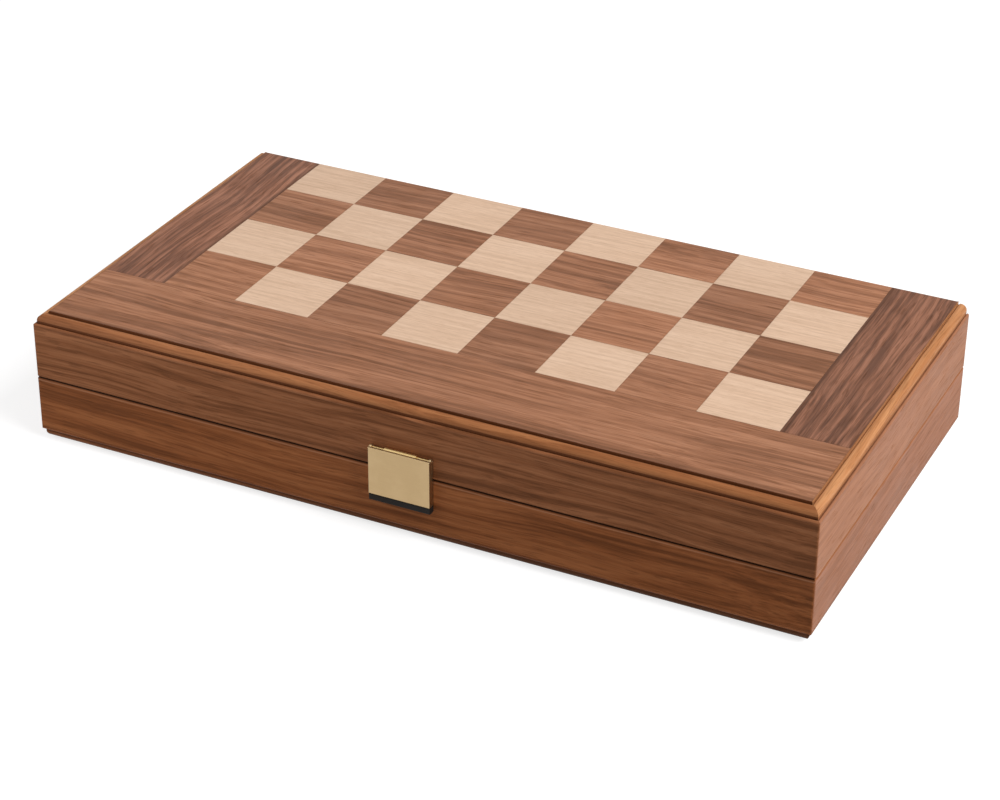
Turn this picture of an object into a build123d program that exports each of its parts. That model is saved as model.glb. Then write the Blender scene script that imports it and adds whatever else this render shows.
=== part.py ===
from build123d import *
import math
import os

# A folding games box: two shallow wooden trays, hinged along the back and held
# at the front by a magnetic flap. Closed, the lid lies on the base. Opened flat,
# the outer faces make a chessboard and the trays make a backgammon board.
# Millimetres. X runs left to right, Y front to back, Z up. The origin is the
# middle of the face that the closed box rests on.

# --- case -------------------------------------------------------------------------------------
case_length = 380.0
case_depth = 201.3
half_height = 32.7
joint_gap = 0.3
wall_thickness = 10.0
panel_thickness = 6.0
veneer_thickness = 0.7
veneer_joint = 0.06
corner_radius = 0.9
rim_ease = 0.7
fold_ease = 0.5

# --- edge moulding, glued round three sides of each outer face --------------------------------
moulding_width = 6.0
face_lip = 0.3
quirk_width = 0.6
quirk_depth = 1.6
bead_top_depth = 1.05
bead_rise = 1.2
bead_foot_inset = 1.5
bead_foot_depth = 4.0
groove_width = 0.5
groove_depth = 5.6
shoulder_top_depth = 5.1
shoulder_foot_depth = 6.0
shoulder_rise = 0.2

# --- chessboard half on each outer face -------------------------------------------------------
square = 38.1
columns = 8
rows = 4
board_front_depth = 52.85

# --- backgammon half in each tray -------------------------------------------------------------
points_per_end = 6
point_length = 142.0
point_spacing = 1.6

# --- butt hinges ------------------------------------------------------------------------------
hinge_centre = 125.0
hinge_length = 30.0
hinge_leaf_width = 9.0
hinge_leaf_thickness = 1.0
hinge_knuckle_radius = 1.6
hinge_pin_radius = 0.7
hinge_knuckles = 5
hinge_screws = 3
hinge_screw_spacing = 10.0
hinge_screw_inset = 5.2

# --- flap clasp -------------------------------------------------------------------------------
clasp_width = 30.0
clasp_above_joint = 10.8
clasp_below_joint = 12.5
clasp_stand = 4.0
clasp_sheet = 1.0
clasp_edge_round = 0.5
clasp_axis_stand = 1.5
clasp_axis_drop = 0.8
clasp_knuckle_radius = 1.2
clasp_pin_radius = 0.55
clasp_knuckle_width = 15.6
backplate_width = 24.0
backplate_thickness = 0.8
backplate_rim_margin = 1.2
clasp_screw_spacing = 17.0
clasp_screw_rise = 6.2
catch_lip = 3.3
catch_stand = 3.6
catch_rim_margin = 1.2
catch_edge_round = 0.4
magnet_width = 12.0
magnet_height = 7.0
magnet_thickness = 1.6

# --- screws -----------------------------------------------------------------------------------
screw_radius = 0.9
screw_head_radius = 1.8
screw_head_height = 0.9
screw_length = 6.0
slot_width = 0.5
slot_depth = 0.4

# --- clearances -------------------------------------------------------------------------------
running_fit = 0.05
moving_gap = 0.3
seat_gap = 0.1
resting_gap = 0.2

# --- counters and dice ------------------------------------------------------------------------
counter_radius = 12.4
counter_thickness = 5.8
counter_round = 0.8
counter_dish_radius = 9.2
counter_dish_depth = 0.4
counters_per_side = 15
counter_gap = 0.2
die_size = 11.0
die_round = 1.3
die_count = 2
die_spacing = 24.0
pip_radius = 0.9
pip_depth = 0.4
pip_spacing = 2.9

# --- chessmen ---------------------------------------------------------------------------------
chessmen_end_margin = 4.0
foot_band = 2.6
foot_step = 1.4
foot_chamfer = 0.5
collar_band = 1.6
pawn_foot = 9.6
piece_foot = 11.2
royal_foot = 12.0
pawn_stem = 20.5
pawn_head_radius = 5.2
pawn_head_sunk = 0.6
pawn_waist = 3.4
rook_stem = 25.0
rook_cup_radius = 8.0
rook_cup_height = 9.5
rook_cup_wall = 2.6
rook_waist = 5.4
rook_cup_depth = 3.4
rook_slot = 2.4
rook_slots = 3
knight_stem = 7.5
knight_head_thickness = 9.0
knight_neck = 7.4
knight_chest_reach = 6.0
knight_chest_height = 7.4
knight_throat_reach = 1.4
knight_throat_height = 15.4
knight_chin_reach = 9.0
knight_chin_height = 16.6
knight_lip_reach = 10.4
knight_lip_height = 19.4
knight_nose_reach = 7.6
knight_nose_height = 20.6
knight_brow_height = 24.4
knight_ear_height = 27.0
knight_mane_height = 10.0
bishop_stem = 29.0
bishop_head_radius = 6.0
bishop_waist = 3.6
bishop_collar = 7.2
bishop_head_height = 13.5
bishop_slit = 1.2
queen_stem = 36.0
queen_cup_radius = 7.6
queen_waist = 3.8
queen_cup_height = 9.5
queen_notch_radius = 1.6
queen_notches = 8
king_stem = 40.0
king_cup_radius = 7.4
king_waist = 4.0
king_cup_height = 10.0
cross_bar = 2.2
cross_height = 7.0
cross_width = 6.4
finial_radius = 2.2

# --- how the pieces lie in the base -----------------------------------------------------------
back_margin = 3.0
row_gap = 5.0
officers_row_depth = 64.0
pawns_row_depth = 34.0

# --- places worked out from the sizes above ---------------------------------------------------
moulding_height = panel_thickness + veneer_thickness
tray_floor = moulding_height + veneer_thickness
joint_height = half_height + joint_gap / 2
total_height = 2 * half_height + joint_gap
half_length = case_length / 2
half_depth = case_depth / 2
board_length = columns * square
board_front = board_front_depth - half_depth
face_half_length = half_length - moulding_width
face_front = moulding_width - half_depth
tray_half_length = half_length - wall_thickness
tray_half_depth = half_depth - wall_thickness
hinge_axis_y = half_depth + joint_gap / 2
joint_plane = Plane.XY.offset(joint_height)
counters_row = (
    tray_half_depth - back_margin - officers_row_depth - pawns_row_depth - 2 * row_gap
    - counter_radius
)
clasp_top = joint_height + clasp_above_joint
clasp_bottom = joint_height - clasp_below_joint
clasp_axis_y = -half_depth - clasp_axis_stand
clasp_axis_z = clasp_top - clasp_axis_drop
backplate_bottom = half_height + joint_gap + backplate_rim_margin
catch_top = half_height - catch_rim_margin
catch_bottom = clasp_bottom - catch_lip
catch_screw_height = joint_height - clasp_screw_rise
catch_block_width = clasp_width - 2 * (clasp_sheet + moving_gap)
catch_block_stand = clasp_stand - clasp_sheet - moving_gap
catch_head_stand = catch_block_stand - screw_head_height
backplate_screw_height = joint_height + clasp_screw_rise

os.makedirs("parts", exist_ok=True)


def save(piece, label):
    """Names one finished piece and writes it."""
    piece.part.label = label
    export_step(piece.part, f"parts/{label}.step")


def save_pair(piece, label):
    """Writes a piece of the base and its mirror image in the lid."""
    save(piece, f"base_{label}")
    with BuildPart() as twin:
        mirror(piece.part, about=joint_plane)
    save(twin, f"lid_{label}")


# --- flat shapes that the pieces are drawn out from -------------------------------------------
def rectangle(plane, width, height):
    with BuildSketch(plane) as shape:
        Rectangle(width, height)
    return shape.sketch


def disc(plane, radius):
    with BuildSketch(plane) as shape:
        Circle(radius)
    return shape.sketch


def polygon(plane, *corners):
    with BuildSketch(plane) as shape:
        with BuildLine():
            Polyline(*corners, close=True)
        make_face()
    return shape.sketch


def bulge(start, end, rise):
    """The middle of an arc from start to end that stands so far off its chord."""
    chord = (end - start).normalized()
    return (start + end) / 2 + Vector(-chord.Y, chord.X) * rise


def rod(radius, start, end, y, z, mode=Mode.ADD):
    """A round bar along X, joined to the piece in hand or cut from it."""
    section = Plane(origin=(start, y, z), x_dir=(0, 1, 0), z_dir=(1, 0, 0))
    extrude(disc(section, radius), amount=end - start, mode=mode)


# --- case: walls, panels and mouldings --------------------------------------------------------
def run_frame(side, height):
    """A level plane on the outer face of one side: local x along it, local y inward."""
    places = {
        "front": ((0, -half_depth), (1, 0, 0)),
        "back": ((0, half_depth), (-1, 0, 0)),
        "left": ((-half_length, 0), (0, -1, 0)),
        "right": ((half_length, 0), (0, 1, 0)),
    }
    (x, y), along = places[side]
    return Plane(origin=(x, y, height), x_dir=along, z_dir=(0, 0, 1))


def run_length(side):
    return case_length if side in ("front", "back") else case_depth


def mitred_plan(side, height, width, start_mitre, end_mitre):
    """The plan of a run of timber, with a 45 degree cut at each mitred end."""
    half = run_length(side) / 2
    start = width if start_mitre else 0
    end = width if end_mitre else 0
    return polygon(
        run_frame(side, height), (-half, 0), (half, 0), (half - end, width), (start - half, width)
    )


def round_corners():
    """Trims the piece in hand to the case's outline, with its rounded upright corners."""
    with BuildSketch() as outline:
        RectangleRounded(case_length, case_depth, corner_radius)
    extrude(outline.sketch, amount=total_height, mode=Mode.INTERSECT)


def ease_rim(side):
    """Rounds the outer edge of a wall's rim, with its corners."""
    if side in ("front", "back"):
        along, outward = Axis.X, Axis.Y
    else:
        along, outward = Axis.Y, Axis.X
    last = -1 if side in ("back", "right") else 0
    rim_edges = edges().group_by(Axis.Z)[-1]
    straight = rim_edges.filter_by(along).group_by(outward)[last]
    fillet(straight + rim_edges.filter_by(GeomType.CIRCLE), rim_ease)


def wall(side):
    """One wall of the base's tray, mitred at both ends."""
    with BuildPart() as timber:
        plan = mitred_plan(side, moulding_height, wall_thickness, True, True)
        extrude(plan, amount=half_height - moulding_height)
        round_corners()
        ease_rim(side)
        if side == "back":
            foot = Plane((0, half_depth - wall_thickness / 2, veneer_thickness))
            extrude(rectangle(foot, 2 * face_half_length, wall_thickness), amount=panel_thickness)
            hinge_seats()
            for x in hinge_screw_places():
                pilot_hole(hinge_screw_plane(x))
        if side == "front":
            for x in clasp_screw_places():
                pilot_hole(front_plane(x, catch_screw_height))
    return timber


def moulding(side):
    """A solid strip whose face has a sunk quirk, a bead, a deep groove and a rounded shoulder."""
    run = run_frame(side, 0)
    across = Plane(origin=run.origin, x_dir=run.y_dir, z_dir=run.x_dir)
    lip = moulding_width - face_lip
    bead_back = lip - quirk_width
    bead_top = Vector(bead_back, bead_top_depth)
    bead_foot = Vector(bead_foot_inset, bead_foot_depth)
    shoulder_top = Vector(bead_foot_inset - groove_width, shoulder_top_depth)
    shoulder_foot = Vector(0, shoulder_foot_depth)
    with BuildPart() as strip:
        with BuildSketch(across):
            with BuildLine():
                Polyline(
                    (0, moulding_height),
                    (moulding_width, moulding_height),
                    (moulding_width, 0),
                    (lip, 0),
                    (lip, quirk_depth),
                    (bead_back, quirk_depth),
                    bead_top,
                )
                ThreePointArc(bead_top, bulge(bead_top, bead_foot, bead_rise), bead_foot)
                Polyline(
                    bead_foot,
                    (bead_foot.X, groove_depth),
                    (shoulder_top.X, groove_depth),
                    shoulder_top,
                )
                ThreePointArc(
                    shoulder_top, bulge(shoulder_top, shoulder_foot, shoulder_rise), shoulder_foot
                )
                Line(shoulder_foot, (0, moulding_height))
            make_face()
        extrude(amount=run_length(side) / 2, both=True)
        plan = mitred_plan(
            side, 0, moulding_width, side in ("front", "right"), side in ("front", "left")
        )
        extrude(plan, amount=moulding_height, mode=Mode.INTERSECT)
        round_corners()
    return strip


def panel():
    """The board that closes one tray, let in between the mouldings and the back wall."""
    depth = tray_half_depth - face_front
    middle = Plane((0, face_front + depth / 2, veneer_thickness))
    with BuildPart() as board:
        extrude(rectangle(middle, 2 * face_half_length, depth), amount=panel_thickness)
    return board


# --- outer face: banding and squares ----------------------------------------------------------
def veneer(x_low, x_high, y_low, y_high, height):
    """One rectangle of veneer, drawn in by half a glue line on every side."""
    middle = Plane(((x_low + x_high) / 2, (y_low + y_high) / 2, height))
    leaf = rectangle(middle, x_high - x_low - veneer_joint, y_high - y_low - veneer_joint)
    extrude(leaf, amount=veneer_thickness)


def ease_fold(outer_face):
    """Rounds the veneers' edge along the fold: on the lower face for 0, on the upper for -1."""
    fold_edges = edges().filter_by(Axis.X).group_by(Axis.Y)[-1]
    fillet(fold_edges.group_by(Axis.Z)[outer_face], fold_ease)


def front_strip():
    with BuildPart() as strip:
        veneer(-face_half_length, face_half_length, face_front, board_front, 0)
    return strip


def side_strip(side):
    inner = side * board_length / 2
    outer = side * face_half_length
    with BuildPart() as strip:
        veneer(min(inner, outer), max(inner, outer), board_front, half_depth, 0)
        ease_fold(0)
    return strip


def squares(parity, height, outer_face):
    """The squares of one colour on one outer face; the row at the fold is cut short."""
    with BuildPart() as fields:
        for row in range(rows):
            near = board_front + row * square
            far = half_depth if row == rows - 1 else near + square
            for column in range(columns):
                left = column * square - board_length / 2
                if (row + column) % 2 == parity:
                    veneer(left, left + square, near, far, height)
        ease_fold(outer_face)
    return fields


# --- tray floor: field and points -------------------------------------------------------------
def points(parity, clearance, mode=Mode.ADD):
    """The long wedges of one colour, reaching in from both ends of a tray."""
    pitch = 2 * tray_half_depth / points_per_end
    half_base = (pitch - point_spacing) / 2 - clearance
    tip = tray_half_length - point_length + clearance
    for end in (-1, 1):
        for place in range(points_per_end):
            middle = (place + 0.5) * pitch - tray_half_depth
            if (place + (end > 0)) % 2 == parity:
                wedge = polygon(
                    Plane.XY.offset(moulding_height),
                    (end * tray_half_length, middle - half_base),
                    (end * tray_half_length, middle + half_base),
                    (end * tip, middle),
                )
                extrude(wedge, dir=(0, 0, 1), amount=veneer_thickness, mode=mode)


def save_tray_floor():
    floor_plane = Plane.XY.offset(moulding_height)
    with BuildPart() as playfield:
        extrude(rectangle(floor_plane, 2 * tray_half_length, 2 * tray_half_depth),
                amount=veneer_thickness)
        points(0, 0, Mode.SUBTRACT)
        points(1, 0, Mode.SUBTRACT)
    save_pair(playfield, "playfield")
    for parity, colour in enumerate(("light", "dark")):
        with BuildPart() as wedges:
            points(parity, veneer_joint)
        save_pair(wedges, f"{colour}_points")


# --- screws -----------------------------------------------------------------------------------
def pilot_hole(face):
    """A hole for a screw, going down from a plane."""
    extrude(disc(face, screw_radius + running_fit), amount=-screw_length - seat_gap,
            mode=Mode.SUBTRACT)


def countersunk_screw(face):
    """A screw whose slotted cone head lies level with a plane."""
    loft([disc(face, screw_head_radius), disc(face.offset(-screw_head_height), screw_radius)])
    shank_and_slot(face, 0)


def cheese_head_screw(face):
    """A screw whose slotted round head stands on a plane."""
    extrude(disc(face, screw_head_radius), amount=screw_head_height)
    shank_and_slot(face, screw_head_height)


def shank_and_slot(face, head_rise):
    extrude(disc(face, screw_radius), amount=-screw_length)
    across = 2 * (screw_head_radius + slot_width)
    slot = rectangle(face.offset(head_rise), across, slot_width)
    extrude(slot, amount=-slot_depth, mode=Mode.SUBTRACT)


# --- butt hinges ------------------------------------------------------------------------------
def hinge_starts():
    """The left end of each hinge."""
    return [side * hinge_centre - hinge_length / 2 for side in (-1, 1)]


def hinge_screw_places():
    row = [(n - (hinge_screws - 1) / 2) * hinge_screw_spacing for n in range(hinge_screws)]
    return [start + hinge_length / 2 + x for start in hinge_starts() for x in row]


def hinge_screw_plane(x, depth=0):
    return Plane((x, hinge_axis_y - hinge_screw_inset, half_height - depth))


def leaf_plan(start, clearance):
    """The plan of one hinge leaf, from its front edge to the hinge's axis."""
    width = hinge_leaf_width + clearance
    middle = Plane((start + hinge_length / 2, hinge_axis_y - width / 2, half_height))
    return rectangle(middle, hinge_length + 2 * clearance, width)


def hinge_seats():
    """Pockets for the leaves in the rim, and grooves for the barrels in its back edge."""
    for start in hinge_starts():
        extrude(leaf_plan(start, seat_gap), amount=-hinge_leaf_thickness, mode=Mode.SUBTRACT)
        rod(hinge_knuckle_radius + moving_gap, start - moving_gap,
            start + hinge_length + moving_gap, hinge_axis_y, joint_height, mode=Mode.SUBTRACT)


def knuckle_span(start, number):
    """Where one knuckle begins and ends, with a gap to each neighbour."""
    pitch = hinge_length / hinge_knuckles
    low = start + number * pitch + (moving_gap / 2 if number > 0 else 0)
    high = start + (number + 1) * pitch - (moving_gap / 2 if number < hinge_knuckles - 1 else 0)
    return low, high


def hinge_leaf(start, first):
    """A leaf let into the base's rim, with every other knuckle, from the first, round the pin."""
    with BuildPart() as leaf:
        extrude(leaf_plan(start, 0), amount=-hinge_leaf_thickness)
        for number in range(1 - first, hinge_knuckles, 2):
            low, high = knuckle_span(start, number)
            rod(hinge_knuckle_radius + moving_gap, low - moving_gap, high + moving_gap,
                hinge_axis_y, joint_height, mode=Mode.SUBTRACT)
        for number in range(first, hinge_knuckles, 2):
            low, high = knuckle_span(start, number)
            rod(hinge_knuckle_radius, low, high, hinge_axis_y, joint_height)
        rod(hinge_pin_radius + running_fit, start, start + hinge_length,
            hinge_axis_y, joint_height, mode=Mode.SUBTRACT)
        for x in hinge_screw_places():
            if start < x < start + hinge_length:
                countersink = [
                    disc(hinge_screw_plane(x), screw_head_radius + running_fit),
                    disc(hinge_screw_plane(x, hinge_leaf_thickness), screw_radius + running_fit),
                ]
                loft(countersink, mode=Mode.SUBTRACT)
    return leaf


def save_mirrored(piece, label):
    """Writes only the lid's image of a piece made in the base's place."""
    with BuildPart() as twin:
        mirror(piece.part, about=joint_plane)
    save(twin, label)


def save_hinges():
    with BuildPart() as lower_leaves:
        for start in hinge_starts():
            add(hinge_leaf(start, 0).part)
    save(lower_leaves, "base_hinge_leaves")
    with BuildPart() as upper_leaves:
        for start in hinge_starts():
            add(hinge_leaf(start, 1).part)
    save_mirrored(upper_leaves, "lid_hinge_leaves")
    with BuildPart() as pins:
        for start in hinge_starts():
            rod(hinge_pin_radius, start, start + hinge_length, hinge_axis_y, joint_height)
    save(pins, "hinge_pins")
    with BuildPart() as screws:
        for x in hinge_screw_places():
            countersunk_screw(hinge_screw_plane(x))
    save(screws, "base_hinge_screws")
    save_mirrored(screws, "lid_hinge_screws")


# --- flap clasp -------------------------------------------------------------------------------
def clasp_screw_places():
    return [-clasp_screw_spacing / 2, clasp_screw_spacing / 2]


def front_plane(x, z, stand=0):
    """A plane on the front of the case, or so far in front of it, facing forwards."""
    return Plane(origin=(x, -half_depth - stand, z), x_dir=(1, 0, 0), z_dir=(0, -1, 0))


def front_block(width, low, high, back, front, mode=Mode.ADD):
    """A block in front of the case, from one distance off its face to another."""
    face = rectangle(front_plane(0, (low + high) / 2, back), width, high - low)
    extrude(face, amount=front - back, mode=mode)


def clasp_rod(radius, width, mode=Mode.ADD):
    """A round bar in the middle of the clasp, on the flap's axis."""
    rod(radius, -width / 2, width / 2, clasp_axis_y, clasp_axis_z, mode=mode)


def clasp_backplate():
    """A leaf screwed to the lid, rolled into one knuckle at its top."""
    with BuildPart() as leaf:
        shoulder = clasp_axis_z - clasp_knuckle_radius - moving_gap
        front_block(backplate_width, backplate_bottom, shoulder, 0, backplate_thickness)
        front_block(clasp_knuckle_width, shoulder, clasp_axis_z, 0, backplate_thickness)
        clasp_rod(clasp_knuckle_radius, clasp_knuckle_width)
        clasp_rod(clasp_pin_radius + running_fit, clasp_knuckle_width, Mode.SUBTRACT)
        for x in clasp_screw_places():
            hole = disc(front_plane(x, backplate_screw_height), screw_radius + running_fit)
            extrude(hole, amount=backplate_thickness, mode=Mode.SUBTRACT)
    return leaf


def clasp_cover():
    """The flap: a plate with its sides turned back, each with an eye round the pin at its top."""
    inner_face = clasp_stand - clasp_sheet
    side_back = clasp_axis_y + clasp_knuckle_radius
    side_front = -half_depth - inner_face
    ear_top = clasp_axis_z + clasp_pin_radius
    with BuildPart() as flap:
        front_block(clasp_width, clasp_bottom, clasp_top, inner_face, clasp_stand)
        for side in (-1, 1):
            sheet_start = min(side * clasp_width / 2, side * (clasp_width / 2 - clasp_sheet))
            cheek = polygon(
                Plane.YZ.offset(sheet_start),
                (side_front, clasp_bottom),
                (side_back, clasp_bottom),
                (side_back, clasp_axis_z),
                (clasp_axis_y, ear_top),
                (side_front, ear_top),
            )
            extrude(cheek, amount=clasp_sheet)
            sheet_end = sheet_start + clasp_sheet
            rod(clasp_knuckle_radius, sheet_start, sheet_end, clasp_axis_y, clasp_axis_z)
        fillet(faces().sort_by(Axis.Y)[0].edges(), clasp_edge_round)
        clasp_rod(clasp_pin_radius + running_fit, clasp_width, Mode.SUBTRACT)
    return flap


def magnet_block(clearance, mode=Mode.ADD):
    """The magnet's own shape, or its pocket when a clearance is given."""
    half = magnet_height / 2 + clearance
    front_block(magnet_width + 2 * clearance, catch_screw_height - half, catch_screw_height + half,
                catch_block_stand - magnet_thickness, catch_block_stand, mode)


def catch_block():
    """The block on the base: a lip that shows below the flap, and a magnet's seat behind it."""
    with BuildPart() as block:
        front_block(catch_block_width, catch_bottom, catch_top, 0, catch_block_stand)
        front_block(clasp_width, catch_bottom, clasp_bottom - moving_gap, 0, catch_stand)
        fillet(faces().sort_by(Axis.Y)[0].edges(), catch_edge_round)
        magnet_block(seat_gap, Mode.SUBTRACT)
        for x in clasp_screw_places():
            head = disc(front_plane(x, catch_screw_height, catch_head_stand),
                        screw_head_radius + seat_gap)
            extrude(head, amount=catch_stand, mode=Mode.SUBTRACT)
            hole = disc(front_plane(x, catch_screw_height), screw_radius + running_fit)
            extrude(hole, amount=catch_head_stand, mode=Mode.SUBTRACT)
    return block


def save_clasp():
    save(clasp_backplate(), "clasp_backplate")
    save(clasp_cover(), "clasp_cover")
    with BuildPart() as pin:
        clasp_rod(clasp_pin_radius, clasp_width)
    save(pin, "clasp_pin")
    save(catch_block(), "clasp_catch")
    with BuildPart() as magnet:
        magnet_block(0)
    save(magnet, "catch_magnet")
    with BuildPart() as lid_screws:
        for x in clasp_screw_places():
            cheese_head_screw(front_plane(x, backplate_screw_height, backplate_thickness))
    save(lid_screws, "clasp_screws")
    with BuildPart() as base_screws:
        for x in clasp_screw_places():
            cheese_head_screw(front_plane(x, catch_screw_height, catch_head_stand))
    save(base_screws, "catch_screws")


# --- counters and dice ------------------------------------------------------------------------
def counter():
    """A flat round counter with a shallow dish in both faces."""
    with BuildPart() as disc_piece:
        Cylinder(counter_radius, counter_thickness)
        fillet(edges().filter_by(GeomType.CIRCLE), counter_round)
        for face in (-1, 1):
            with Locations((0, 0, face * counter_thickness / 2)):
                Cylinder(counter_dish_radius, 2 * counter_dish_depth, mode=Mode.SUBTRACT)
    return disc_piece


def counter_roll(first, spots):
    """Counters on edge side by side along X, from one place onwards."""
    pitch = counter_thickness + counter_gap
    height = tray_floor + resting_gap + counter_radius
    with BuildPart() as roll:
        for n in range(spots):
            with Locations(Location((first + n * pitch, counters_row, height), (0, 90, 0))):
                add(counter().part)
    return roll


def pip_places(count):
    """Where the pips of one face go, in steps from its middle."""
    places = [(0, 0)] if count % 2 else []
    if count > 1:
        places += [(-1, -1), (1, 1)]
    if count > 3:
        places += [(-1, 1), (1, -1)]
    if count == 6:
        places += [(-1, 0), (1, 0)]
    return [(x * pip_spacing, y * pip_spacing) for x, y in places]


def die():
    half = die_size / 2
    faces_up = [((0, 0, 1), 1), ((0, 0, -1), 6), ((1, 0, 0), 2), ((-1, 0, 0), 5), ((0, 1, 0), 3),
                ((0, -1, 0), 4)]
    with BuildPart() as cube:
        Box(die_size, die_size, die_size)
        fillet(edges(), die_round)
        for outward, count in faces_up:
            face = Plane(origin=Vector(*outward) * half, z_dir=outward)
            with BuildSketch(face):
                with Locations(*pip_places(count)):
                    Circle(pip_radius)
            extrude(amount=-pip_depth, mode=Mode.SUBTRACT)
    return cube


def save_counters_and_dice():
    pitch = counter_thickness + counter_gap
    first = -tray_half_length + counter_gap + counter_thickness / 2
    second = first + counters_per_side * pitch + row_gap
    save(counter_roll(first, counters_per_side), "light_counters")
    save(counter_roll(second, counters_per_side), "dark_counters")
    dice_start = second + counters_per_side * pitch + die_spacing
    with BuildPart() as dice:
        for n in range(die_count):
            turn = 90 * n
            spot = (dice_start + n * die_spacing, counters_row, tray_floor + die_size / 2)
            with Locations(Location(spot, (turn, 0, turn))):
                add(die().part)
    save(dice, "dice")


# --- chessmen ---------------------------------------------------------------------------------
def turned_stem(foot, waist, collar, height):
    """The turned lower part of a chessman: foot, step, hollow stem line and collar."""
    shelf = foot - foot_step
    shelf_height = foot_band + foot_step
    with BuildSketch(Plane.XZ) as profile:
        with BuildLine():
            Polyline((0, 0), (foot - foot_chamfer, 0), (foot, foot_chamfer), (foot, foot_band),
                     (shelf, shelf_height))
            Bezier((shelf, shelf_height), (waist, shelf_height), (waist, height))
            Polyline((waist, height), (collar, height), (collar, height + collar_band),
                     (0, height + collar_band), (0, 0))
        make_face()
    revolve(profile.sketch, axis=Axis.Z)


def turned_cup(bottom_radius, top_radius, base, height):
    with BuildSketch(Plane.XZ) as profile:
        with BuildLine():
            Line((0, base), (bottom_radius, base))
            Bezier((bottom_radius, base), (bottom_radius, base + height), (top_radius, base + height))
            Polyline((top_radius, base + height), (0, base + height), (0, base))
        make_face()
    revolve(profile.sketch, axis=Axis.Z)


def pawn():
    head = pawn_stem + collar_band + pawn_head_radius - pawn_head_sunk
    with BuildPart() as man:
        turned_stem(pawn_foot, pawn_waist, pawn_head_radius, pawn_stem)
        with Locations((0, 0, head)):
            Sphere(pawn_head_radius)
    return man, pawn_foot, pawn_head_radius, head


def rook():
    base = rook_stem + collar_band
    top = base + rook_cup_height
    with BuildPart() as man:
        turned_stem(piece_foot, rook_waist, rook_cup_radius, rook_stem)
        extrude(disc(Plane.XY.offset(base), rook_cup_radius), amount=rook_cup_height)
        extrude(disc(Plane.XY.offset(top), rook_cup_radius - rook_cup_wall), amount=-rook_cup_depth,
                mode=Mode.SUBTRACT)
        for n in range(rook_slots):
            rim = Plane.XY.offset(top).rotated((0, 0, 180 * n / rook_slots))
            slot = rectangle(rim, 2 * (rook_cup_radius + rook_slot), rook_slot)
            extrude(slot, amount=-rook_cup_depth, mode=Mode.SUBTRACT)
    return man, piece_foot, rook_cup_radius, top


def knight():
    """A turned foot with a flat carved horse's head on it."""
    base = knight_stem + collar_band
    crown = base + knight_ear_height
    half = knight_head_thickness / 2
    chest = (knight_neck, base)
    breast = (knight_chest_reach, base + knight_chest_height)
    throat = (knight_throat_reach, base + knight_throat_height)
    chin = (knight_chin_reach, base + knight_chin_height)
    lip = (knight_lip_reach, base + knight_lip_height)
    nose = (knight_nose_reach, base + knight_nose_height)
    brow = (knight_throat_reach, base + knight_brow_height)
    nape = (-knight_throat_reach, base + knight_brow_height)
    mane = (-knight_neck, base + knight_mane_height)
    with BuildPart() as man:
        turned_stem(piece_foot, knight_neck, knight_neck + foot_step, knight_stem)
        with BuildSketch(Plane.XZ):
            with BuildLine():
                Spline(chest, breast, throat)
                Line(throat, chin)
                ThreePointArc(chin, lip, nose)
                Polyline(nose, brow, (0, crown), nape)
                Spline(nape, mane, (-knight_neck, base))
                Line((-knight_neck, base), chest)
            make_face()
        extrude(amount=half, both=True)
    return man, piece_foot, half, crown


def bishop():
    base = bishop_stem + collar_band
    widest = base + bishop_head_radius
    tip = base + bishop_head_height
    with BuildPart() as man:
        turned_stem(piece_foot, bishop_waist, bishop_collar, bishop_stem)
        with BuildSketch(Plane.XZ):
            with BuildLine():
                Line((0, base), (bishop_waist, base))
                Spline((bishop_waist, base), (bishop_head_radius, widest), (0, tip))
                Line((0, tip), (0, base))
            make_face()
        revolve(axis=Axis.Z)
        with Locations((0, 0, tip)):
            Sphere(finial_radius)
        slit = Plane(origin=(0, 0, widest), x_dir=(1, 0, 1), z_dir=(-1, 0, 1))
        with BuildSketch(slit):
            with Locations((bishop_head_radius, 0)):
                Rectangle(bishop_head_radius, 2 * (bishop_head_radius + bishop_slit))
        extrude(amount=bishop_slit, mode=Mode.SUBTRACT)
    return man, piece_foot, bishop_collar, base


def queen():
    base = queen_stem + collar_band
    top = base + queen_cup_height
    with BuildPart() as man:
        turned_stem(royal_foot, queen_waist, queen_cup_radius, queen_stem)
        turned_cup(queen_waist, queen_cup_radius, base, queen_cup_height)
        with Locations((0, 0, top)):
            with PolarLocations(queen_cup_radius, queen_notches):
                Sphere(queen_notch_radius, mode=Mode.SUBTRACT)
            Sphere(finial_radius)
    return man, royal_foot, queen_cup_radius, top - queen_notch_radius


def king():
    base = king_stem + collar_band
    top = base + king_cup_height
    with BuildPart() as man:
        turned_stem(royal_foot, king_waist, king_cup_radius, king_stem)
        turned_cup(king_waist, king_cup_radius, base, king_cup_height)
        with Locations((0, 0, top)):
            Sphere(finial_radius)
        with Locations((0, 0, top + cross_height / 2)):
            Box(cross_bar, cross_bar, cross_height)
        with Locations((0, 0, top + finial_radius + cross_bar)):
            Box(cross_width, cross_bar, cross_bar)
    return man, royal_foot, king_cup_radius, top


def lying(foot, rest_radius, rest_height, x, y, heading):
    """Where a chessman lies on its foot and one place higher up, pointing to the front for 1."""
    tip = math.atan((foot - rest_radius) / (rest_height - foot_band))
    lift = foot * math.cos(tip) + foot_band * math.sin(tip)
    turn = heading * (90 + math.degrees(tip))
    return Location((x, y, tray_floor + resting_gap + lift), (turn, 0, 0))


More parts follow.
